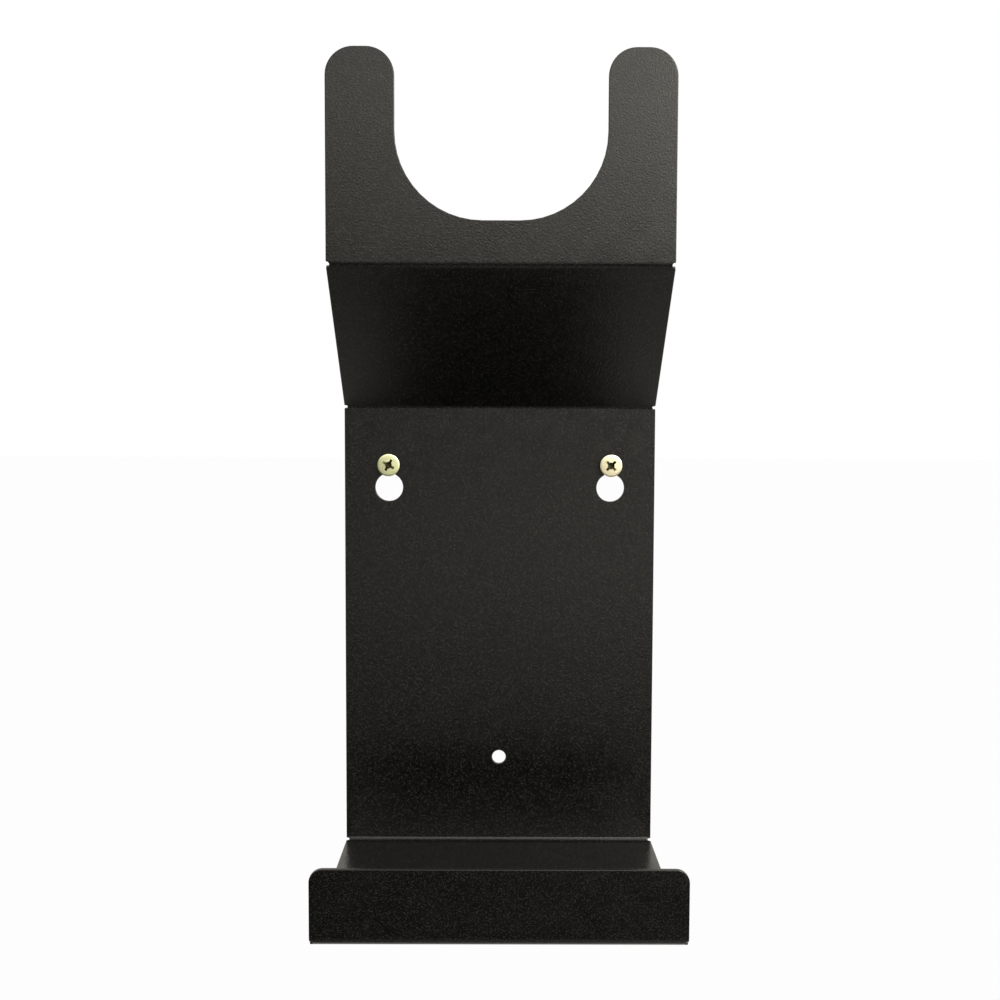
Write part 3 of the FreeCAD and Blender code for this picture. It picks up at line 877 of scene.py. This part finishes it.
world = bpy.data.worlds.new("studio")
bpy.context.scene.world = world
world.use_nodes = True
tree = world.node_tree
tree.nodes.clear()
towards = add_node(tree, "ShaderNodeSeparateXYZ",
                   {"Vector": add_node(tree, "ShaderNodeTexCoord").outputs["Generated"]}).outputs
height_share = add_node(tree, "ShaderNodeMapRange",
                        {"Value": towards["Z"], "From Min": -1.0, "From Max": 1.0})
room = add_node(tree, "ShaderNodeValToRGB", {"Fac": height_share.outputs["Result"]})
ROOM_TOP = 2.8                          # the brightest level
GRADE_HALF = 0.35                       # the left to right grade, either side of the middle
GRADE_LEFT = 0.4
GRADE_RIGHT = 1.7
FADE_START = 0.5                        # the sides fade out between these directions
FADE_END = 0.85
FADE_LEVEL = 0.2
WALL_LEVEL = 1.0
WALL_BLEND = 0.1

# Levels of light by height, from straight below at 0 to straight above at 1
room_levels = [(0.0, 0.32), (0.13, 0.4), (0.22, 0.12), (0.30, 0.05), (0.36, 0.1), (0.40, 0.25),
               (0.44, 0.85), (0.465, 1.75), (0.49, 0.1), (0.56, 0.05), (0.60, 2.0), (0.66, 2.8),
               (0.75, 2.4), (1.0, 1.2)]
stops = room.color_ramp.elements
while len(stops) < len(room_levels):
    stops.new(0.5)
for stop, (position, level) in zip(stops, room_levels):
    stop.position = position
    stop.color = [level / ROOM_TOP] * 3 + [1]
towards_right = add_node(tree, "ShaderNodeMapRange",
                         {"Value": towards["X"], "From Min": -GRADE_HALF, "From Max": GRADE_HALF,
                          "To Min": GRADE_LEFT * ROOM_TOP,
                          "To Max": GRADE_RIGHT * ROOM_TOP}).outputs["Result"]
from_side = add_node(tree, "ShaderNodeMath", {0: towards["X"]}, operation="ABSOLUTE").outputs[0]
side_fade = add_node(tree, "ShaderNodeMapRange",
                     {"Value": from_side, "From Min": FADE_START, "From Max": FADE_END,
                      "To Min": 1.0, "To Max": FADE_LEVEL}).outputs["Result"]
across_room = add_node(tree, "ShaderNodeMath", {0: towards_right, 1: side_fade},
                       operation="MULTIPLY").outputs[0]
in_front = add_node(tree, "ShaderNodeMath", {0: room.outputs["Color"], 1: across_room},
                    operation="MULTIPLY").outputs[0]
behind = add_node(tree, "ShaderNodeMapRange",
                  {"Value": towards["Y"], "From Min": -WALL_BLEND, "From Max": WALL_BLEND},
                  interpolation_type="SMOOTHSTEP").outputs["Result"]
level = add_node(tree, "ShaderNodeMix", {"Factor": behind, "A": in_front, "B": WALL_LEVEL},
                 data_type="FLOAT").outputs["Result"]
studio_light = add_node(tree, "ShaderNodeBackground",
                        {"Color": linear("#fffaef"), "Strength": level})
backdrop = add_node(tree, "ShaderNodeBackground", {"Color": (1, 1, 1, 1), "Strength": 1.0})
seen = add_node(tree, "ShaderNodeLightPath").outputs["Is Camera Ray"]
sky = add_node(tree, "ShaderNodeMixShader",
               {0: seen, 1: studio_light.outputs[0], 2: backdrop.outputs[0]})
add_node(tree, "ShaderNodeOutputWorld", {"Surface": sky.outputs[0]})
bpy.context.scene.view_settings.view_transform = "Standard"

KEY_DISTANCE = 1.2
KEY_SIZE = 0.5
KEY_RIGHT = math.radians(35)
KEY_UP = math.radians(22)
KEY_POWER = 9
key_data = bpy.data.lights.new("key", "AREA")
key_data.shape = "DISK"
key_data.size = KEY_SIZE
key_data.energy = KEY_POWER
key_data.color = linear("#fffaef")[:3]
key = bpy.data.objects.new("key", key_data)
bpy.context.scene.collection.objects.link(key)
key.location = Vector((math.sin(KEY_RIGHT) * math.cos(KEY_UP),
                       -math.cos(KEY_RIGHT) * math.cos(KEY_UP), math.sin(KEY_UP))) * KEY_DISTANCE
key.rotation_euler = key.location.to_track_quat("Z", "Y").to_euler()

CAMERA_PLACE = (-1.26 * MM, -413.29 * MM, 12.37 * MM)
CAMERA_LENS = 41.03                     # mm, on film 36 mm wide
CAMERA_FILM = 36
CAMERA_DOWN = 0.060408                  # radians
CAMERA_LEFT = 0.003306
CAMERA_ROLL = -0.003443
camera_data = bpy.data.cameras.new("camera")
camera_data.lens = CAMERA_LENS
camera_data.sensor_width = CAMERA_FILM
camera_data.clip_start = 0.02
camera = bpy.data.objects.new("camera", camera_data)
bpy.context.scene.collection.objects.link(camera)
camera.location = CAMERA_PLACE
camera.rotation_euler = (
    Matrix.Rotation(-CAMERA_LEFT, 3, "Z") @ Matrix.Rotation(-CAMERA_DOWN, 3, "X")
    @ Matrix.Rotation(CAMERA_ROLL, 3, "Y") @ Matrix.Rotation(math.radians(90), 3, "X")).to_euler()
bpy.context.scene.camera = camera
